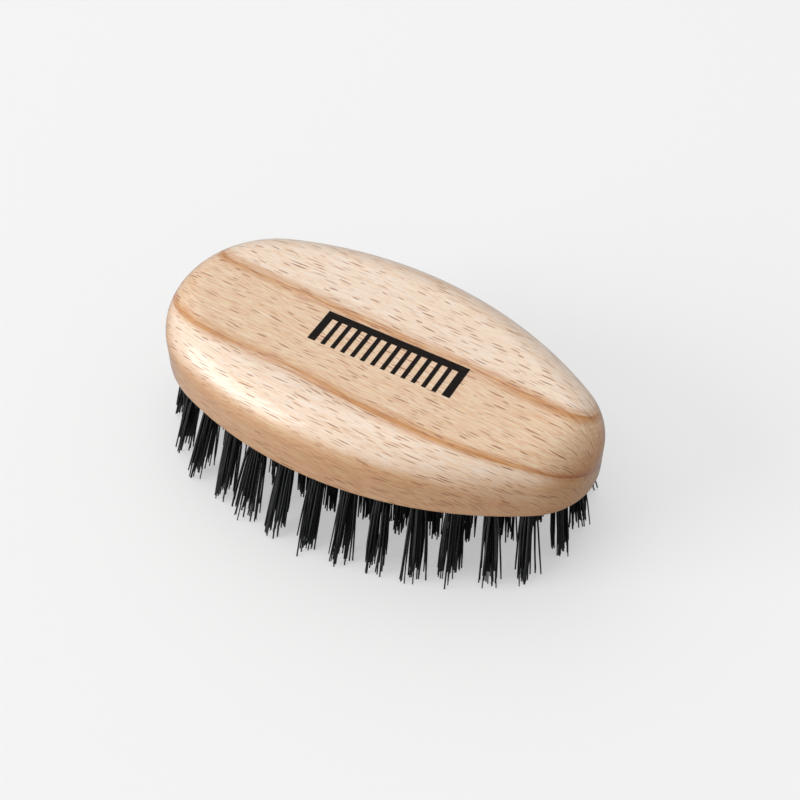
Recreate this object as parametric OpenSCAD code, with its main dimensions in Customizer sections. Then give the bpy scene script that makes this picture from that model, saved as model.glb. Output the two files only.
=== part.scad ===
/* [Handle] */
// Length of the wooden handle
handle_l = 90; // [86:1:94]
// Thickness of the wood
handle_t = 14.5; // [13:0.5:17]
// Outline radius of the wide end
wide_end_r = 21; // [20:0.5:22]
// Outline radius of the narrow end
narrow_end_r = 14.4; // [14:0.2:16]
// Outline radius of the two long sides
side_r = 78; // [76:1:82]
// Radius of the roundover along the top edge
top_round = 7.8; // [5:0.2:9]
// Radius of the small rounding along the underside's edge
edge_round = 0.8; // [0.4:0.1:1.2]

/* [Holes] */
// Diameter of the blind holes that hold the tufts
hole_d = 3; // [2.9:0.1:3.2]
// Depth of the holes, along their own axis
hole_depth = 7; // [6:0.5:8]

/* [Bristles] */
// Free length of the bristles, from the wood down to the tips
bristle_l = 18; // [14:0.5:19]
// Diameter of a tuft where it leaves the wood
root_d = 2.9; // [2.5:0.1:2.9]
// Diameter of an outer tuft at its tips, where the bristles fan out
outer_tip_d = 5.4; // [3.5:0.1:5.6]
// Diameter of any other tuft at its tips
inner_tip_d = 5.2; // [3.5:0.1:5.4]

/* [Layout] */
// Number of tufts in the outer ring
outer_count = 30; // [26:2:30]
// Distance of the outer ring from the wood's edge
outer_inset = 4.6; // [4.4:0.2:5]
// Outward lean of the outer ring along the two long sides, in degrees
outer_lean = 22; // [18:1:24]
// Outward lean of the outer ring at its two ends, in degrees
outer_end_lean = 6; // [5:1:10]
// Number of tufts in the middle ring, a multiple of three
middle_count = 24; // [18:3:24]
// Distance of the middle ring from the wood's edge
middle_inset = 11.3; // [11:0.1:11.6]
// Outward lean of the middle ring along the two long sides, in degrees
middle_lean = 11; // [8:1:12]
// Outward lean of the middle ring at its two ends, in degrees
middle_end_lean = 4; // [3:1:6]
// Number of tufts in each of the two inner rows, an even number
inner_count = 8; // [4:2:8]
// Distance of the inner rows from the wood's edge
inner_inset = 18; // [17.6:0.1:18.2]
// Outward lean of the inner rows, in degrees
inner_lean = 4; // [3:1:5]
// Number of tufts in the centre row
centre_count = 5; // [3:2:5]
// Distance from one tuft of the centre row to the next
centre_pitch = 6.4; // [6:0.1:6.5]

/* [Anchors] */
// Width of the flat wire anchor that holds a tuft, across its hole
anchor_w = 2.8; // [2.4:0.1:2.8]
// Thickness of the anchor wire
anchor_t = 0.4; // [0.3:0.05:0.5]
// Height of the anchor, along its hole
anchor_h = 1.6; // [1.2:0.1:2]

/* [Printed mark] */
// Length of the comb that is printed on the top
mark_l = 30; // [20:1:34]
// Height of the comb
mark_h = 8; // [5:0.5:10]
// Width of the comb's back and of its two end teeth
mark_back = 1.6; // [1.2:0.1:2.4]
// Width of the comb's other teeth
mark_tooth = 0.9; // [0.6:0.1:1.2]
// Number of teeth between the two end teeth
mark_teeth = 12; // [6:1:14]
// Thickness of the ink
ink_t = 0.05; // [0.04:0.01:0.1]

/* [Hidden] */
$fn = 48;
degrees_per_radian = 180 / PI;

// Heights: the bristle tips stand at zero
wood_z = bristle_l;
top_z = wood_z + handle_t;

// The outline is four arcs: an end on the X axis at each side, and two long sides that touch both ends
wide_cx = wide_end_r - handle_l / 2;
narrow_cx = handle_l / 2 - narrow_end_r;
to_wide = side_r - wide_end_r;
to_narrow = side_r - narrow_end_r;
ends_apart = narrow_cx - wide_cx;
side_cx = wide_cx + (to_wide ^ 2 - to_narrow ^ 2 + ends_apart ^ 2) / (2 * ends_apart);
side_cy = sqrt(to_wide ^ 2 - (side_cx - wide_cx) ^ 2);

// Headings at which the narrow end passes into a long side, and a long side into the wide end
narrow_heading = atan2(side_cy, narrow_cx - side_cx);
wide_heading = atan2(side_cy, wide_cx - side_cx);

// Fineness of the handle's skin: steps round the outline, up the roundover and up the small edge
outline_steps = 120;
round_steps = 10;
edge_steps = 3;

// Room in a hole: past the folded end of the tuft, from the fold to the anchor, and round the anchor
fold_gap = 0.2;
anchor_fold = 0.9;
anchor_gap = 0.02;

// How far a cut runs past the surface that it opens
past = 1;

// Place of the printed comb on the flat top
mark_x = 2.7;
mark_y = -1.8;

// Point of the outline where it faces a heading from 0 to 180, moved inward by inset
function half_outline(heading, inset) =
    heading < narrow_heading ?
        [narrow_cx + (narrow_end_r - inset) * cos(heading), (narrow_end_r - inset) * sin(heading)]
    : heading < wide_heading ?
        [side_cx + (side_r - inset) * cos(heading), (side_r - inset) * sin(heading) - side_cy]
    : [wide_cx + (wide_end_r - inset) * cos(heading), (wide_end_r - inset) * sin(heading)];

// The same for a heading from 0 to 360
function outline_point(heading, inset) =
    heading <= 180 ? half_outline(heading, inset)
    : let (twin = half_outline(360 - heading, inset)) [twin.x, -twin.y];

// Lengths of the three arcs of half an inset outline, from the narrow end to the wide end
function arc_lengths(inset) = [
    (narrow_end_r - inset) * narrow_heading / degrees_per_radian,
    (side_r - inset) * (wide_heading - narrow_heading) / degrees_per_radian,
    (wide_end_r - inset) * (180 - wide_heading) / degrees_per_radian
];

// Heading of the point that lies a distance along half an inset outline
function heading_along(distance, inset) =
    let (arc = arc_lengths(inset))
    distance < arc[0] ? distance / (narrow_end_r - inset) * degrees_per_radian
    : distance < arc[0] + arc[1] ?
        narrow_heading + (distance - arc[0]) / (side_r - inset) * degrees_per_radian
    : wide_heading + (distance - arc[0] - arc[1]) / (wide_end_r - inset) * degrees_per_radian;

// A tuft's place is [x, y, heading, lean, tip diameter]
// A ring's lean is given as [at its ends, along its long sides], and passes smoothly between them
function ring_place(fraction, inset, leans, tip_d) =
    let (
        half = arc_lengths(inset) * [1, 1, 1],
        distance = fraction * 2 * half,
        heading = distance <= half ? heading_along(distance, inset)
            : 360 - heading_along(2 * half - distance, inset),
        point = outline_point(heading, inset),
        lean = leans[0] + (leans[1] - leans[0]) * sin(heading) ^ 2
    )
    [point.x, point.y, heading, lean, tip_d];

// Places evenly round a ring, the first one some steps past the middle of the narrow end
function ring_places(count, first, inset, leans, tip_d) =
    [for (i = [0:count - 1]) ring_place((i + first) / count, inset, leans, tip_d)];

// The two inner rows follow the long sides, from the wide end on, and would meet on the X axis
inner_r = side_r - inner_inset;
inner_turn = acos(side_cy / inner_r);
function inner_place(i, side) =
    let (heading = 90 + inner_turn * (1 - 2 * i / (inner_count + 1)))
    [
        side_cx + inner_r * cos(heading),
        side * (inner_r * sin(heading) - side_cy),
        side * heading,
        inner_lean,
        inner_tip_d
    ];

outer_leans = [outer_end_lean, outer_lean];
middle_leans = [middle_end_lean, middle_lean];
outer_places = ring_places(outer_count, 0.5, outer_inset, outer_leans, outer_tip_d);
middle_places = ring_places(middle_count, 0, middle_inset, middle_leans, inner_tip_d);
left_places = [for (i = [1:inner_count]) inner_place(i, 1)];
right_places = [for (i = [1:inner_count]) inner_place(i, -1)];
end_places = [[side_cx + inner_r * sin(inner_turn), 0, 0, inner_lean, inner_tip_d]];
centre_places = [for (i = [0:centre_count - 1])
    [side_cx + (i - (centre_count - 1) / 2) * centre_pitch, 0, 0, 0, inner_tip_d]];
inner_places = concat(left_places, right_places, end_places, centre_places);
all_places = concat(outer_places, middle_places, inner_places);

// The handle's skin is a stack of rings, each as [height, inset], from the underside up to the flat top
edge_rings = [for (i = [0:edge_steps])
    let (turn = 90 * i / edge_steps)
    [wood_z + edge_round * (1 - cos(turn)), edge_round * (1 - sin(turn))]];
round_rings = [for (i = [0:round_steps])
    let (turn = 90 * i / round_steps)
    [top_z - top_round * (1 - sin(turn)), top_round * (1 - cos(turn))]];
skin_rings = concat(edge_rings, round_rings);

// Egg-shaped block with a large roundover on top, before drilling
module handle_blank() {
    top_ring = len(skin_rings) - 1;
    points = [for (ring = skin_rings) for (i = [0:outline_steps - 1])
        let (point = outline_point(360 * i / outline_steps, ring[1]))
        [point.x, point.y, ring[0]]];
    sides = [for (k = [0:top_ring - 1]) for (i = [0:outline_steps - 1])
        let (low = k * outline_steps, high = low + outline_steps, next = (i + 1) % outline_steps)
        [low + i, high + i, high + next, low + next]];
    underside = [for (i = [0:outline_steps - 1]) i];
    flat_top = [for (i = [1:outline_steps]) (top_ring + 1) * outline_steps - i];
    polyhedron(points, concat([underside], sides, [flat_top]), convexity = 4);
}

// Moves its children to a hole's mouth, with +Z along the hole into the wood
module at_place(place) {
    translate([place.x, place.y, wood_z])
        rotate([0, 0, place[2]])
            rotate([0, -place[3], 0])
                children();
}

// Slot across the folded tuft, for the anchor: as wide as the hole, with a gap all round the wire
module anchor_slot(place) {
    at_place(place)
        translate([0, 0, hole_depth - fold_gap - anchor_fold - anchor_h / 2])
            cube([anchor_t + 2 * anchor_gap, hole_d, anchor_h + 2 * anchor_gap], center = true);
}

// Block under the surface that the tips stand on, which trims them level
module under_floor() {
    translate([-handle_l, -handle_l, -handle_l])
        cube([2 * handle_l, 2 * handle_l, handle_l]);
}

// One folded tuft: a straight shank in its hole, and a fan that widens down to the trimmed tips
// The shank reaches out of a leaning hole until it is clear of the hole's rim
module tuft(place) {
    shank_out = root_d / 2 * tan(place[3]);
    tip_distance = bristle_l / cos(place[3]);
    fan_l = tip_distance + place[4];
    fan_d = root_d + (place[4] - root_d) * (fan_l - shank_out) / (tip_distance - shank_out);
    difference() {
        at_place(place) {
            translate([0, 0, -shank_out])
                cylinder(h = hole_depth - fold_gap + shank_out, d = root_d);
            translate([0, 0, -fan_l])
                cylinder(h = fan_l - shank_out, d1 = fan_d, d2 = root_d);
        }
        under_floor();
        anchor_slot(place);
    }
}

module handle() {
    color("burlywood")
        difference() {
            handle_blank();
            for (place = all_places)
                at_place(place)
                    translate([0, 0, -past])
                        cylinder(h = hole_depth + past, d = hole_d);
        }
}

module tufts(places) {
    color([0.09, 0.09, 0.1])
        for (place = places)
            tuft(place);
}

// Flat wire anchors, one across each hole, under the fold of its tuft
module anchors(places) {
    color("silver")
        for (place = places)
            at_place(place)
                translate([0, 0, hole_depth - fold_gap - anchor_fold - anchor_h / 2])
                    cube([anchor_t, anchor_w, anchor_h], center = true);
}

// Comb printed in ink: a back, two end teeth and the fine teeth between them
module printed_comb() {
    gap = (mark_l - 2 * mark_back - mark_teeth * mark_tooth) / (mark_teeth + 1);
    color([0.08, 0.07, 0.07])
        translate([mark_x - mark_l / 2, mark_y - mark_h / 2, top_z])
            linear_extrude(ink_t)
                union() {
                    translate([0, mark_h - mark_back])
                        square([mark_l, mark_back]);
                    for (x = [0, mark_l - mark_back])
                        translate([x, 0])
                            square([mark_back, mark_h]);
                    for (i = [0:mark_teeth - 1])
                        translate([mark_back + gap + i * (mark_tooth + gap), 0])
                            square([mark_tooth, mark_h]);
                }
}

// A node's name ends in a number of two digits
function numbered(stem, i) = str(stem, i < 9 ? "0" : "", i + 1);

// Neighbours that share a node: three in the middle ring, two in the inner rows
function share(places, size) =
    [for (k = [0:size:len(places) - size]) [for (i = [0:size - 1]) places[k + i]]];

tuft_groups = concat(
    [for (i = [0:outer_count - 1]) [numbered("outer_tuft_", i), [outer_places[i]]]],
    let (groups = share(middle_places, 3))
        [for (i = [0:len(groups) - 1]) [numbered("middle_tufts_", i), groups[i]]],
    let (groups = share(left_places, 2))
        [for (i = [0:len(groups) - 1]) [numbered("left_row_tufts_", i), groups[i]]],
    let (groups = share(right_places, 2))
        [for (i = [0:len(groups) - 1]) [numbered("right_row_tufts_", i), groups[i]]],
    [["end_tuft", end_places]],
    [for (i = [0:centre_count - 1]) [numbered("centre_tuft_", i), [centre_places[i]]]]
);

handle();
anchors(outer_places);  // outer_anchors
anchors(middle_places);  // middle_anchors
anchors(inner_places);  // inner_anchors
printed_comb();
for (group = tuft_groups)
    tufts(group[1]);
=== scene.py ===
"""Builds the looks of an egg-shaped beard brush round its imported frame.

A lacquered beech handle with drilled holes, folded bristles on wire anchors, a printed comb, and a
studio floor with its lights and camera. Lengths are in metres in the frame's own axes, but the
patterns of the materials are laid out in millimetres.
"""

import math
import random

import bmesh
import bpy
from bpy.props import FloatProperty, FloatVectorProperty, IntProperty, PointerProperty
from mathutils import Matrix, Vector


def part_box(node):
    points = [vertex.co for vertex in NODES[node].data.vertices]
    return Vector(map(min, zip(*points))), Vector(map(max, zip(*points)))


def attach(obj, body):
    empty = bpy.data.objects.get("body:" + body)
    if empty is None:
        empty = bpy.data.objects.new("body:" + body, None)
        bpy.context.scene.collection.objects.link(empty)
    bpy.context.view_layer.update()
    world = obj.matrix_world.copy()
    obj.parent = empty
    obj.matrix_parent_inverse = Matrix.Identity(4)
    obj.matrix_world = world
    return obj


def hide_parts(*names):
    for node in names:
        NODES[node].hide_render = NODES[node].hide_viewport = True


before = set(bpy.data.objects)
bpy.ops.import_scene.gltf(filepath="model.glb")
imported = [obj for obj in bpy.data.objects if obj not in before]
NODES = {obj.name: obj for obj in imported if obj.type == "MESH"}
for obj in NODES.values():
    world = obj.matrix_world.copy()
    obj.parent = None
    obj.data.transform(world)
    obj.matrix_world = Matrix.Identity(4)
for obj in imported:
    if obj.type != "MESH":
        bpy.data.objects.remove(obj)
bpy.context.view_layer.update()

bl_info = {
    "name": "Beard Brush",
    "version": (1, 0, 0),
    "blender": (4, 5, 0),
    "location": "3D View > Sidebar > Brush",
    "description": "Makes the finished pieces of an egg-shaped beard brush round its frame",
    "category": "Add Mesh",
}

MM = 0.001
MERGE = 0.001 * MM
HANDLE_LOW, HANDLE_HIGH = (Vector(corner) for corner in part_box("handle"))
TUFT_NODES = sorted(name for name in NODES if "tuft" in name)
ANCHOR_NODES = sorted(name for name in NODES if name.endswith("anchors"))


def screen(red, green, blue):
    """Linear colour of a screen colour whose parts run from 0 to 255."""
    parts = (value / 255 for value in (red, green, blue))
    return tuple(p / 12.92 if p < 0.04045 else ((p + 0.055) / 1.055) ** 2.4 for p in parts)


def length(name, description, default):
    """A length that a user may change."""
    return FloatProperty(
        name=name, description=description, default=default, min=0, unit="LENGTH", precision=5
    )


def colour(name, description, default):
    """A colour that a user may change."""
    return FloatVectorProperty(
        name=name, description=description, default=default, size=3, min=0, max=1, subtype="COLOR"
    )


def share(name, description, default):
    """A share, from nothing to all, that a user may change."""
    return FloatProperty(
        name=name, description=description, default=default, min=0, max=1, subtype="FACTOR"
    )


def angle(name, description, degrees):
    """An angle that a user may change."""
    return FloatProperty(
        name=name, description=description, default=math.radians(degrees), subtype="ANGLE"
    )


def power(name, description, watts):
    """A lamp's power that a user may change."""
    return FloatProperty(name=name, description=description, default=watts, min=0, unit="POWER")


def brightness(name, description, default):
    """A brightness that a user may change."""
    return FloatProperty(name=name, description=description, default=default, min=0)


# ------------------------------------------------------------------- settings


class HandleSettings(bpy.types.PropertyGroup):
    """Shape and finish of the wooden handle."""

    wide_end_r: length("Wide end", "Outline radius of the wide end", 21 * MM)
    narrow_end_r: length("Narrow end", "Outline radius of the narrow end", 14.4 * MM)
    side_r: length("Long sides", "Outline radius of the two long sides", 78 * MM)
    top_round: length("Top roundover", "Radius of the roundover along the top", 7.8 * MM)
    edge_round: length("Lower edge", "Radius of the rounding round the underside", 0.8 * MM)
    hole_r: length("Hole radius", "Radius of the tuft holes", 1.5 * MM)
    hole_depth: length("Hole depth", "Depth of the tuft holes", 7 * MM)
    mouth: length("Hole mouth", "Width of the chamfer at each hole's mouth", 0.2 * MM)
    pale: colour("Pale wood", "Pale pinkish wood outside the growth bands", screen(248, 225, 203))
    tan: colour("Tan wood", "Warmer wood between the growth bands", screen(229, 190, 150))
    band: colour("Growth band", "Orange brown of the growth bands", screen(200, 136, 72))
    fleck: colour("Flecks", "Brown of the short ray flecks", screen(158, 98, 50))
    # Multiplied into the sides and ends by which way they face: at the ends partly real end grain, and
    # on the sides and ends also painted shade
    end: colour("End grain", "Darker wood on the sides, where fibres are cut", screen(208, 158, 76))


class TuftSettings(bpy.types.PropertyGroup):
    """Bristles of every tuft."""

    bristle_r: length("Bristle radius", "Radius of one bristle", 0.165 * MM)
    columns: IntProperty(
        name="Columns", description="Folded bristles side by side on an anchor", default=7, min=2
    )
    layers: IntProperty(
        name="Layers", description="Folded bristles on top of each other", default=3, min=1
    )
    root_r: length("Root radius", "Radius of a tuft at the mouth of its hole", 1.33 * MM)
    fold: length("Fold", "Height of the anchors' upper edge above the holes' mouths", 5.9 * MM)
    anchor_t: length("Anchor", "Thickness of the anchors", 0.4 * MM)
    fan: share("Fan", "Spread of the tips, as a share of the tuft's own", 0.66)
    ragged: length("Ragged tips", "How much shorter the shortest bristles are", 4.2 * MM)
    clump: length("Clumps", "How far the clumps of bristles part at the tips", 0.5 * MM)
    stray: length("Stray tips", "How far a tip wanders from its clump", 0.22 * MM)
    loose: share("Loose bristles", "Share of the bristles that stand out from their clump", 0.28)
    sway: length("Sway", "How far a bristle bows on its way down", 0.16 * MM)
    black: colour("Black", "Colour of the bristles", (0.0045, 0.005, 0.006))
    grey: colour("Grey", "Colour of paler bristles and cut tips", (0.06, 0.065, 0.072))


class TrimSettings(bpy.types.PropertyGroup):
    """Printed comb and wire anchors."""

    ink: colour("Ink", "Colour of the printing ink", (0.007, 0.005, 0.004))
    thin_ink: colour("Thin ink", "Colour of the ink over the wood's pores", (0.035, 0.024, 0.018))
    steel: colour("Wire", "Colour of the anchor wire", (0.56, 0.56, 0.58))


class StageSettings(bpy.types.PropertyGroup):
    """Floor, lights and camera."""

    azimuth: angle("Camera azimuth", "Turn of the camera round the brush", 29.86)
    elevation: angle("Camera elevation", "Angle of the camera above the floor", 49.0)
    distance: length("Camera distance", "From the camera to what it aims at", 268.9 * MM)
    lens: FloatProperty(
        name="Lens", description="Focal length of the camera", default=63.01, min=1, unit="CAMERA"
    )
    floor: colour("Floor", "Colour of the studio floor", (0.5, 0.5, 0.5))
    glow: brightness("Floor glow", "Brightness added to the floor without lighting the brush", 0.43)
    ambient: brightness("Ambient", "Strength of the light from all round", 0.47)
    key: power("Key light", "Power of the low wide light on the left", 54)
    top: power("Top light", "Power of the high light behind on the left", 47)
    sheen: power("Sheen light", "Power of the light that only shows as a reflection", 7)


# ------------------------------------------------------------------- shader helpers


def add(tree, kind, inputs=None, **settings):
    """Adds a node, sets it up, and fills its inputs with values or with other nodes' sockets."""
    node = tree.nodes.new(kind)
    for name, value in settings.items():
        setattr(node, name, value)
    for key, value in (inputs or {}).items():
        if isinstance(value, bpy.types.NodeSocket):
            tree.links.new(value, node.inputs[key])
        else:
            node.inputs[key].default_value = value
    return node


def maths(tree, operation, first, second=0.0, third=0.0):
    """A Math node's result."""
    return add(tree, "ShaderNodeMath", {0: first, 1: second, 2: third}, operation=operation).outputs[0]


def ramp(tree, value, start, end, low=0.0, high=1.0):
    """Runs smoothly from low to high as the value goes from start to end."""
    limits = {"Value": value, "From Min": start, "From Max": end, "To Min": low, "To Max": high}
    return add(tree, "ShaderNodeMapRange", limits, interpolation_type="SMOOTHSTEP").outputs["Result"]


def stretched(tree, vector, scale):
    """A vector scaled axis by axis, which draws a pattern out along the grain."""
    return add(tree, "ShaderNodeVectorMath", {0: vector, 1: scale}, operation="MULTIPLY").outputs[0]


def split(tree, vector):
    """The X, Y and Z of a vector or colour."""
    return add(tree, "ShaderNodeSeparateXYZ", {0: vector}).outputs


def noise(tree, vector, detail=2.0, roughness=0.5):
    """Soft noise round 0.5, with one swell to each unit of the vector."""
    inputs = {"Vector": vector, "Scale": 1.0, "Detail": detail, "Roughness": roughness}
    return add(tree, "ShaderNodeTexNoise", inputs).outputs["Fac"]


def blend(tree, amount, first, second, mode="MIX"):
    """One colour mixed into another."""
    first, second = (
        item if isinstance(item, bpy.types.NodeSocket) else (*item, 1.0) for item in (first, second)
    )
    inputs = {0: amount, 6: first, 7: second}
    return add(tree, "ShaderNodeMix", inputs, data_type="RGBA", blend_type=mode).outputs[2]


def new_group(name, inputs, output):
    """An empty shader group, with its inputs' sockets and its one output's."""
    tree = bpy.data.node_groups.new(name, "ShaderNodeTree")
    for socket, kind in inputs:
        tree.interface.new_socket(socket, in_out="INPUT", socket_type=kind)
    tree.interface.new_socket(output, in_out="OUTPUT", socket_type="NodeSocketFloat")
    return tree, tree.nodes.new("NodeGroupInput").outputs, tree.nodes.new("NodeGroupOutput").inputs


def white(tree, x, y, z):
    """Three even random numbers for whole-numbered places."""
    place = add(tree, "ShaderNodeCombineXYZ", {"X": x, "Y": y, "Z": z}).outputs[0]
    return split(tree, add(tree, "ShaderNodeTexWhiteNoise", {"Vector": place}).outputs["Color"])


def off_centre(tree, value, reach):
    """The square of how far a value is from the middle of its cell, as a share of the reach."""
    off = maths(tree, "SUBTRACT", maths(tree, "FRACT", value), 0.5)
    off = maths(tree, "DIVIDE", off, reach)
    return maths(tree, "MULTIPLY", off, off)


def fleck_group(name):
    """Lens-shaped dashes along X in staggered rows, as a mask, on coordinates in millimetres.

    Each dash lies in a cell of Length by Pitch by Height, and Amount is the share of cells with one.
    """
    sizes = [(socket, "NodeSocketFloat") for socket in ("Length", "Pitch", "Height", "Amount")]
    tree, given, wanted = new_group(name, [("Vector", "NodeSocketVector"), *sizes], "Mask")
    axis = split(tree, given["Vector"])
    row = maths(tree, "DIVIDE", axis["Y"], given["Pitch"])
    line = maths(tree, "FLOOR", row)
    shift = white(tree, line, 3.0, 7.0)["X"]
    along = maths(tree, "ADD", maths(tree, "DIVIDE", axis["X"], given["Length"]), shift)
    cell = maths(tree, "FLOOR", along)
    shift = white(tree, cell, line, 5.0)["X"]
    down = maths(tree, "ADD", maths(tree, "DIVIDE", axis["Z"], given["Height"]), shift)
    chance = white(tree, cell, line, maths(tree, "FLOOR", down))
    # Half the dash's length and half its width, as shares of its cell
    reach = maths(tree, "MULTIPLY_ADD", chance["X"], 0.3, 0.18)
    thin = maths(tree, "MULTIPLY_ADD", chance["Z"], 0.12, 0.2)
    inside = maths(tree, "ADD", off_centre(tree, along, reach), off_centre(tree, row, thin))
    inside = maths(tree, "ADD", inside, off_centre(tree, down, 0.5))
    # Some cells stay empty, and wider dashes are darker
    chosen = maths(tree, "LESS_THAN", chance["Y"], given["Amount"])
    mask = maths(tree, "MULTIPLY", ramp(tree, inside, 1.0, 0.35), chosen)
    mask = maths(tree, "MULTIPLY", mask, maths(tree, "MULTIPLY_ADD", chance["Z"], 0.55, 0.45))
    tree.links.new(mask, wanted["Mask"])
    return tree


def mottle_group(name):
    """Fine uneven tone, drawn out along the axes by the vector that it is given."""
    inputs = [("Vector", "NodeSocketVector"), ("Contrast", "NodeSocketFloat")]
    tree, given, wanted = new_group(name, inputs, "Value")
    centred = maths(tree, "SUBTRACT", noise(tree, given["Vector"], 4.0, 0.6), 0.5)
    tree.links.new(maths(tree, "MULTIPLY_ADD", centred, given["Contrast"], 0.5), wanted["Value"])
    return tree


SHADER_GROUPS = {"Ray Flecks": fleck_group, "Fine Mottle": mottle_group}


def grouped(tree, name, **inputs):
    """Places a shared shader group with its own values, and gives its result."""
    group = bpy.data.node_groups.get(name) or SHADER_GROUPS[name](name)
    return add(tree, "ShaderNodeGroup", inputs, node_tree=group).outputs[0]


def new_material(name, **constants):
    """A material whose Principled shader has these plain values, named by their sockets."""
    material = bpy.data.materials.new(name)
    material.use_nodes = True
    tree = material.node_tree
    tree.nodes.clear()
    values = {key.replace("_", " "): value for key, value in constants.items()}
    shader = add(tree, "ShaderNodeBsdfPrincipled", values)
    add(tree, "ShaderNodeOutputMaterial", {"Surface": shader.outputs[0]})
    return material, tree, shader


def join(tree, shader, **sockets):
    """Feeds a shader's inputs, named by their sockets."""
    for key, socket in sockets.items():
        tree.links.new(socket, shader.inputs[key.replace("_", " ")])


def bumped(tree, height, strength, distance):
    """A normal that follows a fine relief, whose full height is the distance."""
    inputs = {"Height": height, "Strength": strength, "Distance": distance}
    return add(tree, "ShaderNodeBump", inputs).outputs[0]


def grain_space(tree, turn=0.0):
    """Millimetres along, across and up from the middle of the handle's top, turned to the grain."""
    inputs = {
        "Vector": add(tree, "ShaderNodeTexCoord").outputs["Object"],
        "Location": (0, 0, -HANDLE_HIGH.z / MM),
        "Rotation": (0, 0, turn),
        "Scale": (1 / MM, 1 / MM, 1 / MM),
    }
    return add(tree, "ShaderNodeMapping", inputs).outputs[0]


# ------------------------------------------------------------------- materials

# How far the grain is turned from the handle's length
GRAIN_TURN = math.radians(2.7)
# How far the growth rings step across for each millimetre up
RING_SLOPE = 1.8
# How far the rings and the rows of flecks wander
RING_WANDER = 2.0
ROW_WANDER = 4.0
# Middle of each growth band across the rings, and how deep its colour is
BANDS = ((3.1, 0.9), (-14.6, 1.0), (19.5, 0.3))
# How far a band's soft halo and its core reach to each side
HALO_REACH = 2.7
CORE_REACH = 0.8
# Where each edge of a tan zone begins, and where it is full
TAN_ZONE = ((-16.0, -14.0), (5.5, 2.5))
LOW_TAN_ZONE = (-27.0, -33.0)
# How far from the middle the rows of flecks turn down over each long side
ROWS_TURN = 7.0
# Swells of each pattern to a millimetre along, across and up
WANDER_SCALE = (0.03, 0.07, 0.07)
FIBRE_SCALE = (0.04, 1.3, 0.3)
PORE_SCALE = (0.25, 3.6, 1.2)
BRISTLE_SCALE = (2.5, 2.5, 0.4)
INK_SCALE = (0.6, 5.0, 5.0)
SCRATCH_SCALE = (8.0, 0.8, 8.0)


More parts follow.
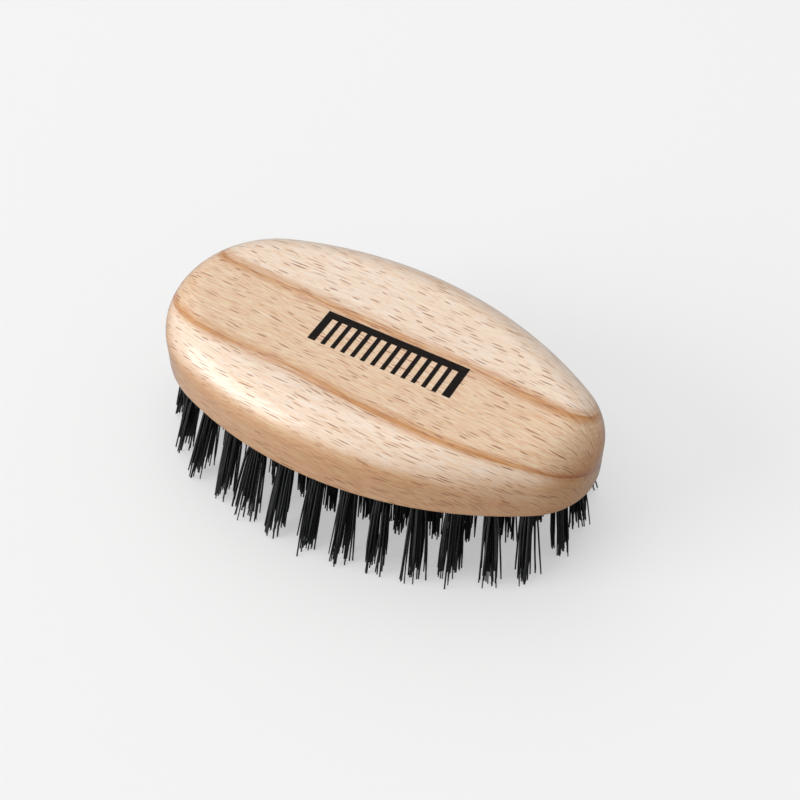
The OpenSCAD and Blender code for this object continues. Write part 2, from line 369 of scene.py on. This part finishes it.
def beech_material(look):
    """Beech: pale and tan growth zones, brown bands, ray flecks and fibres, under clear lacquer."""
    material, tree, shader = new_material(
        "lacquered_beech", Coat_Weight=1.0, Coat_IOR=1.42, Coat_Roughness=0.17
    )
    place = grain_space(tree, GRAIN_TURN)
    axis = split(tree, place)

    # The growth rings are sheets that slope down through the wood and wander a little
    wander = noise(tree, stretched(tree, place, WANDER_SCALE), 3.0)
    ring = maths(tree, "MULTIPLY_ADD", axis["Z"], RING_SLOPE, axis["Y"])
    ring = maths(tree, "MULTIPLY_ADD", maths(tree, "SUBTRACT", wander, 0.5), RING_WANDER, ring)

    # Fibres run along the rings in long thin streaks
    sheet = add(tree, "ShaderNodeCombineXYZ", {"X": axis["X"], "Y": ring, "Z": axis["Z"]}).outputs[0]
    fibres = noise(tree, stretched(tree, sheet, FIBRE_SCALE), 3.0, 0.6)
    streaks = ramp(tree, fibres, 0.34, 0.68)

    # The wood is tan between the bands and pale outside them
    between = maths(tree, "MULTIPLY", *(ramp(tree, ring, *edge) for edge in TAN_ZONE))
    between = maths(tree, "ADD", between, ramp(tree, ring, *LOW_TAN_ZONE, 0.0, 1.2))
    warmth = maths(tree, "MULTIPLY_ADD", streaks, 0.35, maths(tree, "MULTIPLY", between, 0.65))
    wood = blend(tree, warmth, look.pale, look.tan)
    for middle, depth in BANDS:
        off = maths(tree, "ABSOLUTE", maths(tree, "SUBTRACT", ring, middle))
        halo = ramp(tree, off, HALO_REACH, 0.2, 0.0, 0.85 * depth)
        core = ramp(tree, off, CORE_REACH, 0.05, 0.0, 0.6 * depth)
        halo = maths(tree, "MULTIPLY", halo, ramp(tree, fibres, 0.3, 0.62, 0.35, 1.0))
        wood = blend(tree, maths(tree, "MULTIPLY_ADD", core, streaks, halo), wood, look.band)

    # Flecks lie in rows that step on down both long sides
    side = ramp(tree, axis["Y"], -ROWS_TURN, ROWS_TURN, 1.0, -1.0)
    row = maths(tree, "MULTIPLY_ADD", axis["Z"], side, axis["Y"])
    row = maths(tree, "MULTIPLY_ADD", wander, ROW_WANDER, row)
    rows = add(tree, "ShaderNodeCombineXYZ", {"X": axis["X"], "Y": row, "Z": axis["Z"]}).outputs[0]
    bold = grouped(tree, "Ray Flecks", Vector=rows, Length=5.0, Pitch=0.66, Height=3.0, Amount=0.72)
    faint = grouped(tree, "Ray Flecks", Vector=rows, Length=3.1, Pitch=0.37, Height=2.0, Amount=0.6)
    flecks = maths(tree, "MULTIPLY_ADD", faint, 0.4, maths(tree, "MULTIPLY", bold, 0.85))
    flecks = maths(tree, "MINIMUM", flecks, 0.9)
    wood = blend(tree, flecks, wood, look.fleck)

    # Pores make a fine grey mottle along the grain
    pores = grouped(tree, "Fine Mottle", Vector=stretched(tree, rows, PORE_SCALE), Contrast=2.2)
    grey = add(tree, "ShaderNodeCombineXYZ", {"X": pores, "Y": pores, "Z": pores}).outputs[0]
    wood = blend(tree, 0.4, wood, grey, "OVERLAY")

    # The sides are darkened by which way they face, which is painted shade, and the two ends most of
    # all, which is partly real end grain and partly painted shade
    normal = split(tree, add(tree, "ShaderNodeTexCoord").outputs["Normal"])
    level, endways = (maths(tree, "ABSOLUTE", normal[key]) for key in ("Z", "X"))
    cut = ramp(tree, level, 0.75, 0.1, 0.0, 0.5)
    cut = maths(tree, "ADD", cut, ramp(tree, endways, 0.3, 0.95, 0.0, 0.42))
    wood = blend(tree, cut, wood, look.end, "MULTIPLY")

    # Under the lacquer the flecks are rougher and lie a little lower
    rough = maths(tree, "MULTIPLY_ADD", flecks, 0.12, 0.42)
    rough = maths(tree, "MULTIPLY_ADD", maths(tree, "SUBTRACT", pores, 0.5), 0.1, rough)
    relief = maths(tree, "MULTIPLY_ADD", flecks, -0.8, maths(tree, "MULTIPLY", pores, 0.5))
    join(tree, shader, Base_Color=wood, Roughness=rough, Normal=bumped(tree, relief, 0.3, 0.04 * MM))
    return material


def bristle_material(look):
    """Black bristles: each has its own tone, and the cut tips are paler."""
    material, tree, shader = new_material("black_bristle", Specular_IOR_Level=0.25)
    tone = add(tree, "ShaderNodeAttribute", attribute_name="tone").outputs["Fac"]
    along = add(tree, "ShaderNodeAttribute", attribute_name="along").outputs["Fac"]
    place = stretched(tree, grain_space(tree), BRISTLE_SCALE)
    mottle = grouped(tree, "Fine Mottle", Vector=place, Contrast=1.6)
    # A quarter of the bristles are paler, and so are the last few millimetres of each leg
    paler = ramp(tree, tone, 0.75, 1.0, 0.0, 0.5)
    tips = ramp(tree, along, 0.85, 1.0, 0.0, 0.7)
    amount = maths(tree, "MINIMUM", maths(tree, "MULTIPLY_ADD", tips, mottle, paler), 1.0)
    black = blend(tree, amount, look.black, look.grey)
    rough = maths(tree, "MULTIPLY_ADD", mottle, 0.25, 0.26)
    join(tree, shader, Base_Color=black, Roughness=rough)
    return material


def ink_material(look):
    """Printing ink that is thinner over the wood's pores."""
    material, tree, shader = new_material("printing_ink", Specular_IOR_Level=0.1)
    place = stretched(tree, grain_space(tree, GRAIN_TURN), INK_SCALE)
    pores = grouped(tree, "Fine Mottle", Vector=place, Contrast=1.8)
    ink = blend(tree, ramp(tree, pores, 0.55, 0.9), look.ink, look.thin_ink)
    rough = maths(tree, "MULTIPLY_ADD", pores, 0.25, 0.42)
    join(tree, shader, Base_Color=ink, Roughness=rough, Normal=bumped(tree, pores, 0.2, 0.02 * MM))
    return material


def wire_material(look):
    """Drawn steel wire with fine scratches along it."""
    material, tree, shader = new_material("anchor_wire", Metallic=1.0)
    place = stretched(tree, grain_space(tree), SCRATCH_SCALE)
    scratches = grouped(tree, "Fine Mottle", Vector=place, Contrast=1.4)
    steel = blend(tree, scratches, [0.6 * value for value in look.steel], look.steel)
    rough = maths(tree, "MULTIPLY_ADD", scratches, 0.25, 0.25)
    join(tree, shader, Base_Color=steel, Roughness=rough)
    return material


def floor_material(look):
    """Matt studio board, very faintly uneven, that looks brighter than the light it passes on."""
    material, tree, shader = new_material(
        "studio_board", Specular_IOR_Level=0.2, Emission_Color=(1, 1, 1, 1)
    )
    uneven = noise(tree, add(tree, "ShaderNodeTexCoord").outputs["Object"])
    board = blend(tree, uneven, [0.99 * value for value in look.floor], look.floor)
    seen = add(tree, "ShaderNodeLightPath").outputs["Is Camera Ray"]
    glow = maths(tree, "MULTIPLY", seen, look.glow)
    rough = ramp(tree, uneven, 0.0, 1.0, 0.6, 0.7)
    join(tree, shader, Base_Color=board, Roughness=rough, Emission_Strength=glow)
    return material


# ------------------------------------------------------------------- mesh helpers


def new_object(name, shape):
    """An object with a bmesh's shape, which is used up."""
    mesh = bpy.data.meshes.new(name)
    shape.to_mesh(mesh)
    shape.free()
    item = bpy.data.objects.new(name, mesh)
    bpy.context.scene.collection.objects.link(item)
    return item


def finished_piece(name, shape, material, node):
    """A piece that rides on the brush, has its finish, and stands for a CAD node."""
    piece = new_object(name, shape)
    piece.data.materials.append(material)
    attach(piece, "root")
    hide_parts(node)
    return piece


def dress(node, material):
    """Gives a CAD node that stays in view its own finish."""
    slots = NODES[node].material_slots
    if not slots:
        raise RuntimeError(f"{node} has no material slot")
    for slot in slots:
        slot.material = material


def only(kind, items):
    """Those of an operator's results that are of one kind."""
    return [item for item in items if isinstance(item, kind)]


def raised(shape, face, rise):
    """Extrudes a level face upwards, and gives the new face and its corners."""
    grown = bmesh.ops.extrude_face_region(shape, geom=[face])["geom"]
    corners = only(bmesh.types.BMVert, grown)
    bmesh.ops.translate(shape, vec=(0, 0, rise), verts=corners)
    return only(bmesh.types.BMFace, grown)[0], corners


# ------------------------------------------------------------------- handle

# Steps of each arc of the outline, and of its roundover and its eased edge
END_STEPS = 36
SIDE_STEPS = 64
WIDE_STEPS = 84
TOP_SEGMENTS = 24
EDGE_SEGMENTS = 6
# Width of the ring of faces inside each flat's rim, which keeps its shading level
FLAT_RIM = 0.4 * MM
DRILL_SIDES = 28
# How far the drill bits stand out of the wood before they enter it
DRILL_START = 1.0 * MM
# Height of the chamfer at a hole's mouth, as a multiple of its width
CHAMFER_RISE = 1.5
# A handle with its holes has many more faces than this
FEWEST_FACES = 1000
# Edges sharper than this break the smooth shading
SHARP_EDGE = math.radians(28)


def egg_arcs(look):
    """The outline's arcs from the tip of the narrow end: centre, angle and number of steps."""
    wide_x = HANDLE_LOW.x + look.wide_end_r
    narrow_x = HANDLE_HIGH.x - look.narrow_end_r
    to_wide = look.side_r - look.wide_end_r
    to_narrow = look.side_r - look.narrow_end_r
    apart = narrow_x - wide_x
    side_x = wide_x + (to_wide**2 - to_narrow**2 + apart**2) / (2 * apart)
    side_y = math.sqrt(to_wide**2 - (side_x - wide_x) ** 2)
    narrow = math.atan2(side_y, narrow_x - side_x)
    wide = math.atan2(side_y, wide_x - side_x)
    return (
        (narrow_x, 0, narrow, END_STEPS),
        (side_x, -side_y, wide - narrow, SIDE_STEPS),
        (wide_x, 0, 2 * (math.pi - wide), WIDE_STEPS),
        (side_x, side_y, wide - narrow, SIDE_STEPS),
        (narrow_x, 0, narrow, END_STEPS),
    )


def handle_blank(look):
    """The handle before drilling: an egg-shaped slab, rounded over on top and eased below."""
    blank = bmesh.new()
    corner = blank.verts.new((HANDLE_HIGH.x, 0, HANDLE_LOW.z))
    for x, y, sweep, steps in egg_arcs(look):
        middle = (x, y, HANDLE_LOW.z)
        arc = bmesh.ops.spin(
            blank, geom=[corner], cent=middle, axis=(0, 0, 1), angle=sweep, steps=steps
        )
        corner = only(bmesh.types.BMVert, arc["geom_last"])[0]
    bmesh.ops.remove_doubles(blank, verts=blank.verts[:], dist=MERGE)
    underside = bmesh.ops.contextual_create(blank, geom=blank.edges[:])["faces"][0]
    raised(blank, underside, HANDLE_HIGH.z - HANDLE_LOW.z)
    bmesh.ops.recalc_face_normals(blank, faces=blank.faces[:])
    for level, radius, segments in (
        (HANDLE_HIGH.z, look.top_round, TOP_SEGMENTS),
        (HANDLE_LOW.z, look.edge_round, EDGE_SEGMENTS),
    ):
        rim = [e for e in blank.edges if all(abs(v.co.z - level) < MERGE for v in e.verts)]
        bmesh.ops.bevel(
            blank,
            geom=rim,
            offset=radius,
            offset_type="OFFSET",
            affect="EDGES",
            segments=segments,
            profile=0.5,
            material=-1,
        )
    flats = [face for face in blank.faces if len(face.verts) > 4]
    bmesh.ops.inset_individual(blank, faces=flats, thickness=FLAT_RIM)
    return blank


def drill_bits(look, tufts):
    """One chamfering drill bit in each tuft's place, all in one mesh."""
    bits = bmesh.new()
    mouth_r = look.hole_r + look.mouth
    chamfer = look.mouth * CHAMFER_RISE
    for tuft in tufts:
        corners = bmesh.ops.create_circle(
            bits, cap_ends=True, segments=DRILL_SIDES, radius=mouth_r
        )["verts"]
        face = corners[0].link_faces[0]
        for rise, scale in (
            (DRILL_START, 1.0),
            (chamfer, look.hole_r / mouth_r),
            (look.hole_depth - chamfer, 1.0),
        ):
            face, ring = raised(bits, face, rise)
            bmesh.ops.scale(bits, vec=(scale, scale, 1.0), verts=ring)
            corners = corners + ring
        bmesh.ops.translate(bits, vec=(0, 0, -DRILL_START), verts=corners)
        bmesh.ops.transform(bits, matrix=tuft["matrix"], verts=corners)
    bmesh.ops.recalc_face_normals(bits, faces=bits.faces[:])
    return bits


def drilled(blank, bits):
    """The handle's shape with every hole cut out of it."""
    work, cutter = new_object("drilling_blank", blank), new_object("drilling_bits", bits)
    holes = work.modifiers.new("holes", "BOOLEAN")
    holes.operation = "DIFFERENCE"
    holes.solver = "EXACT"
    holes.object = cutter
    bpy.context.view_layer.update()
    shape = bmesh.new()
    shape.from_object(work, bpy.context.evaluated_depsgraph_get())
    for item in (work, cutter):
        bpy.data.meshes.remove(item.data)
    return shape


def shade_smooth(shape, limit):
    """Smooth shading that breaks at the edges that are sharper than the limit."""
    for face in shape.faces:
        face.smooth = True
    for edge in shape.edges:
        edge.smooth = edge.calc_face_angle(0.0) < limit


class BRUSH_OT_handle(bpy.types.Operator):
    """Make the wooden handle with its tuft holes, in lacquered beech"""

    bl_idname = "brush.handle"
    bl_label = "Make Handle"

    def execute(self, context):
        look = context.scene.brush_handle
        tufts = [tuft for node in TUFT_NODES for tuft in tufts_in(node)]
        shape = drilled(handle_blank(look), drill_bits(look, tufts))
        if len(shape.faces) < FEWEST_FACES:
            raise RuntimeError("drilling the handle went wrong")
        shade_smooth(shape, SHARP_EDGE)
        finished_piece("beech_handle", shape, beech_material(look), "handle")
        return {"FINISHED"}


# ------------------------------------------------------------------- tufts

# Points along each leg of a folded bristle, and round the fold between the legs
LEG_POINTS = 4
FOLD_POINTS = 3
RINGS = 2 * LEG_POINTS + FOLD_POINTS
BRISTLE_SIDES = 5
# Thinnest and thickest bristle, and a cut tip, as shares of the bristle radius
THICKNESS = (0.85, 1.2)
TIP_TAPER = 0.8
# How many times further than the others a loose bristle strays
LOOSE_STRAY = 2.6
# The furthest that a tip strays, as a multiple of its usual stray
MOST_STRAY = 2.0
# A power under 1 makes a leg spread soon below its hole
FLARE = 0.65
# A power over 1 makes long bristles more common than short ones
RAGGED_POWER = 1.5
LEAST_CUT = 0.02 * MM
# Shake of the bristles' places on their anchor: in millimetres along it, and in layers out from it
SHAKE_ALONG = 0.07
SHAKE_OUT = (0.35, 0.75)
# Columns of bristles that lean away as one clump
CLUMP_COLUMNS = 2
# Height of the first layer's fold over the anchor, in bristle radii, and how far each next is above
FIRST_FOLD = 1.4
NEXT_FOLD = 2
# How far below the anchor's upper edge the fold begins
FOLD_DROP = 0.3 * MM
# Corners of a CAD tuft this near the ground are on its tip, and this near its top are on its fold
TIP_DEPTH = 0.01 * MM
FOLD_DEPTH = 0.75 * MM
# A tuft that leans less than this stands upright
UPRIGHT = 0.01


def loose_parts(shape):
    """The separate solids of a shape, as lists of corners in an order that never changes."""
    seen = set()
    for first in shape.verts:
        if first in seen:
            continue
        seen.add(first)
        part = [first]
        for corner in part:
            for edge in corner.link_edges:
                near = edge.other_vert(corner)
                if near not in seen:
                    seen.add(near)
                    part.append(near)
        yield part


def centre(points):
    """The mean of some points."""
    return sum(points, Vector()) / len(points)


def tuft_place(part):
    """A tuft's axes at its hole's mouth, X outwards and Z into the wood, its length and tip radius."""
    highest = max(corner.co.z for corner in part)
    tips = [corner.co for corner in part if corner.co.z < TIP_DEPTH]
    fold = centre([corner.co for corner in part if corner.co.z > highest - FOLD_DEPTH])
    tip = centre(tips)
    inward = (fold - tip).normalized()
    outward = Vector((-inward.x, -inward.y, 0))
    if outward.length < UPRIGHT:
        outward = Vector((1, 0, 0))
    across = inward.cross(outward).normalized()
    matrix = Matrix((across.cross(inward), across, inward)).transposed().to_4x4()
    matrix.translation = tip + inward * ((HANDLE_LOW.z - tip.z) / inward.z)
    reach = (matrix.translation - tip).length
    return {"matrix": matrix, "reach": reach, "tip_r": min((point - tip).length for point in tips)}


def tufts_in(node):
    """The tufts that a CAD node holds, in a fixed order."""
    solid = bmesh.new()
    solid.from_mesh(NODES[node].data)
    bmesh.ops.remove_doubles(solid, verts=solid.verts[:], dist=MERGE)
    tufts = [tuft_place(part) for part in loose_parts(solid)]
    solid.free()
    return sorted(tufts, key=lambda tuft: [round(value, 5) for value in tuft["matrix"].translation])


def leg(look, draw, tuft, x, y, clump):
    """One leg of a folded bristle: points from the mouth of the hole down to the cut tip."""
    spread = look.fan * tuft["tip_r"] / look.root_r
    reach = look.stray * (LOOSE_STRAY if draw.random() < look.loose else 1)
    wander = [max(-MOST_STRAY, min(MOST_STRAY, draw.gauss(0, 1))) * reach for _ in range(2)]
    tip = Vector((x * spread, y * spread, -tuft["reach"])) + clump + Vector((*wander, 0))
    mouth = Vector((x, y, 0))
    bow = Vector((draw.gauss(0, look.sway), draw.gauss(0, look.sway), 0))
    points = []
    for step in range(LEG_POINTS):
        t = step / (LEG_POINTS - 1)
        spot = mouth.lerp(tip, t**FLARE) + bow * (4 * t * (1 - t))
        spot.z = tip.z * t
        points.append(tuft["matrix"] @ spot)
    short = look.ragged * draw.random() ** RAGGED_POWER + LEAST_CUT
    last, before = points[-1], points[-2]
    points[-1] = before.lerp(last, (before.z - short) / (before.z - last.z))
    return points


def folded_path(look, draw, tuft, clumps, column, layer):
    """A bristle's path: up one leg, over the anchor, and down the other leg."""
    y = ((column + 0.5) / look.columns * 2 - 1) * look.root_r
    y += draw.uniform(-SHAKE_ALONG, SHAKE_ALONG) * MM
    room = math.sqrt(max(look.root_r**2 - y**2, 0)) - look.anchor_t / 2
    x = look.anchor_t / 2 + room * (layer + draw.uniform(*SHAKE_OUT)) / look.layers
    top = look.fold + look.bristle_r * (FIRST_FOLD + NEXT_FOLD * layer)
    start = look.fold - FOLD_DROP
    first, second = (
        leg(look, draw, tuft, out, y, clump[column // CLUMP_COLUMNS])
        for out, clump in zip((-x, x), clumps)
    )
    bend = [(-x, y, start), (0, y, top), (x, y, start)]
    return first[::-1] + [tuft["matrix"] @ Vector(point) for point in bend] + second


def parted_clumps(look, draw):
    """How far each clump of bristles on an anchor's two sides leans away at the tips."""
    leans = []
    for _side in range(2):
        pairs = [(draw.gauss(0, look.clump), draw.gauss(0, look.clump)) for _ in range(look.columns)]
        leans.append([Vector((*pair, 0)) for pair in pairs])
    return leans


def straight_bristle(shape):
    """A rod one unit in radius whose rings stand at whole numbers along Z: its geometry."""
    circle = bmesh.ops.create_circle(shape, cap_ends=True, segments=BRISTLE_SIDES, radius=1.0)
    face = circle["verts"][0].link_faces[0]
    for _ in range(RINGS - 1):
        face, _ring = raised(shape, face, 1.0)
    bmesh.ops.recalc_face_normals(shape, faces=shape.faces[:])
    for side in shape.faces:
        side.smooth = len(side.verts) == 4
    return shape.verts[:] + shape.edges[:] + shape.faces[:]


def bend_to(corners, path, radius, across):
    """Bends a straight bristle's corners to a path, and tapers its two tips."""
    for corner in corners:
        ring = round(corner.co.z)
        ahead, behind = path[min(ring + 1, RINGS - 1)], path[max(ring - 1, 0)]
        run = (ahead - behind).normalized()
        side = (across - run * across.dot(run)).normalized()
        out = side.cross(run)
        thick = radius * (TIP_TAPER if ring in (0, RINGS - 1) else 1.0)
        corner.co = path[ring] + (out * corner.co.x + side * corner.co.y) * thick


def tuft_shape(look, node):
    """Every folded bristle of a CAD node's tufts."""
    draw = random.Random(node)
    shape = bmesh.new()
    along = shape.verts.layers.float.new("along")
    tone = shape.verts.layers.float.new("tone")
    pattern = straight_bristle(shape)
    fold_ring = RINGS // 2
    for tuft in tufts_in(node):
        across = tuft["matrix"].to_3x3().col[1]
        clumps = parted_clumps(look, draw)
        for column in range(look.columns):
            for layer in range(look.layers):
                path = folded_path(look, draw, tuft, clumps, column, layer)
                copy = bmesh.ops.duplicate(shape, geom=pattern)["geom"]
                corners = only(bmesh.types.BMVert, copy)
                own_tone = draw.random()
                for corner in corners:
                    corner[along] = abs(corner.co.z - fold_ring) / fold_ring
                    corner[tone] = own_tone
                bend_to(corners, path, look.bristle_r * draw.uniform(*THICKNESS), across)
    bmesh.ops.delete(shape, geom=only(bmesh.types.BMVert, pattern), context="VERTS")
    return shape


class BRUSH_OT_tufts(bpy.types.Operator):
    """Make every tuft, as bristles that are folded over their anchor"""

    bl_idname = "brush.tufts"
    bl_label = "Make Tufts"

    def execute(self, context):
        look = context.scene.brush_tufts
        black = bristle_material(look)
        for node in TUFT_NODES:
            finished_piece(f"{node}_bristles", tuft_shape(look, node), black, node)
        return {"FINISHED"}


# ------------------------------------------------------------------- anchors and comb


class BRUSH_OT_anchors(bpy.types.Operator):
    """Give the anchors in the holes their drawn wire"""

    bl_idname = "brush.anchors"
    bl_label = "Finish Anchors"

    def execute(self, context):
        wire = wire_material(context.scene.brush_trim)
        for node in ANCHOR_NODES:
            dress(node, wire)
        return {"FINISHED"}


class BRUSH_OT_comb(bpy.types.Operator):
    """Give the printed comb its ink"""

    bl_idname = "brush.comb"
    bl_label = "Finish Printed Comb"

    def execute(self, context):
        dress("printed_comb", ink_material(context.scene.brush_trim))
        return {"FINISHED"}


# ------------------------------------------------------------------- stage

# What the camera and the lights point at, on the handle's underside
AIM = Vector((4.0 * MM, 0.4 * MM, HANDLE_LOW.z))
FLOOR_REACH = 20.0
LIGHT_DISTANCE = 3.0
NEAREST_SEEN = 0.01
# Name, setting, heading and height above the floor in degrees, width and height in metres
LIGHTS = (
    ("key_light", "key", -135, 19, 1.9, 2.0),
    ("sheen_light", "sheen", -120, 10, 2.3, 0.9),
    ("top_light", "top", 155, 68, 4.4, 4.4),
)


def towards(heading, rise):
    """The direction at a heading and at an angle above the floor."""
    flat = math.cos(rise)
    return Vector((math.cos(heading) * flat, math.sin(heading) * flat, math.sin(rise)))


def pointing(item, place, target):
    """Puts a light or camera in its place and turns it to a target."""
    item.location = place
    item.rotation_euler = (target - place).to_track_quat("-Z", "Y").to_euler()
    bpy.context.scene.collection.objects.link(item)
    return item


class BRUSH_OT_stage(bpy.types.Operator):
    """Set out the pale floor, the soft lights and the camera"""

    bl_idname = "brush.stage"
    bl_label = "Set Stage"

    def execute(self, context):
        scene = context.scene
        look = scene.brush_stage
        shape = bmesh.new()
        bmesh.ops.create_grid(shape, x_segments=1, y_segments=1, size=FLOOR_REACH)
        floor = new_object("studio_floor", shape)
        floor.data.materials.append(floor_material(look))

        for name, setting, heading, rise, width, height in LIGHTS:
            lamp = bpy.data.lights.new(name, "AREA")
            lamp.energy = getattr(look, setting)
            lamp.shape = "RECTANGLE"
            lamp.size = width
            lamp.size_y = height
            way = towards(math.radians(heading), math.radians(rise))
            item = pointing(bpy.data.objects.new(name, lamp), AIM + way * LIGHT_DISTANCE, AIM)
            # The sheen light only shows as a reflection
            item.visible_diffuse = setting != "sheen"

        world = bpy.data.worlds.new("pale_room")
        world.use_nodes = True
        sky = world.node_tree.nodes["Background"].inputs
        sky["Color"].default_value = (1, 1, 1, 1)
        sky["Strength"].default_value = look.ambient
        scene.world = world
        scene.view_settings.view_transform = "Standard"

        away = towards(look.azimuth - math.pi / 2, look.elevation)
        lens = bpy.data.cameras.new("studio_camera")
        lens.lens = look.lens
        lens.clip_start = NEAREST_SEEN
        camera = bpy.data.objects.new("studio_camera", lens)
        scene.camera = pointing(camera, AIM + away * look.distance, AIM)
        return {"FINISHED"}


# ------------------------------------------------------------------- panel and registration


class BRUSH_PT_pieces(bpy.types.Panel):
    """Lists the brush's pieces and their settings"""

    bl_idname = "BRUSH_PT_pieces"
    bl_label = "Beard Brush"
    bl_space_type = "VIEW_3D"
    bl_region_type = "UI"
    bl_category = "Brush"

    def draw(self, context):
        for operators, settings in PANEL_ROWS:
            box = self.layout.box()
            for operator in operators:
                box.operator(operator.bl_idname)
            look = getattr(context.scene, settings)
            for name in look.bl_rna.properties.keys():
                if name not in ("rna_type", "name"):
                    box.prop(look, name)


PANEL_ROWS = (
    ((BRUSH_OT_handle,), "brush_handle"),
    ((BRUSH_OT_tufts,), "brush_tufts"),
    ((BRUSH_OT_anchors, BRUSH_OT_comb), "brush_trim"),
    ((BRUSH_OT_stage,), "brush_stage"),
)
SETTINGS = {
    "brush_handle": HandleSettings,
    "brush_tufts": TuftSettings,
    "brush_trim": TrimSettings,
    "brush_stage": StageSettings,
}
OPERATORS = (BRUSH_OT_handle, BRUSH_OT_tufts, BRUSH_OT_anchors, BRUSH_OT_comb, BRUSH_OT_stage)


def register():
    """Makes the classes and their settings known to Blender."""
    for cls in (*SETTINGS.values(), *OPERATORS, BRUSH_PT_pieces):
        bpy.utils.register_class(cls)
    for name, cls in SETTINGS.items():
        setattr(bpy.types.Scene, name, PointerProperty(type=cls))


def unregister():
    """Takes them away again."""
    for name in SETTINGS:
        delattr(bpy.types.Scene, name)
    for cls in (BRUSH_PT_pieces, *reversed(OPERATORS), *SETTINGS.values()):
        bpy.utils.unregister_class(cls)


def main():
    """Makes every piece and the stage."""
    register()
    bpy.ops.brush.handle()
    bpy.ops.brush.tufts()
    bpy.ops.brush.anchors()
    bpy.ops.brush.comb()
    bpy.ops.brush.stage()


if __name__ == "__main__":
    main()
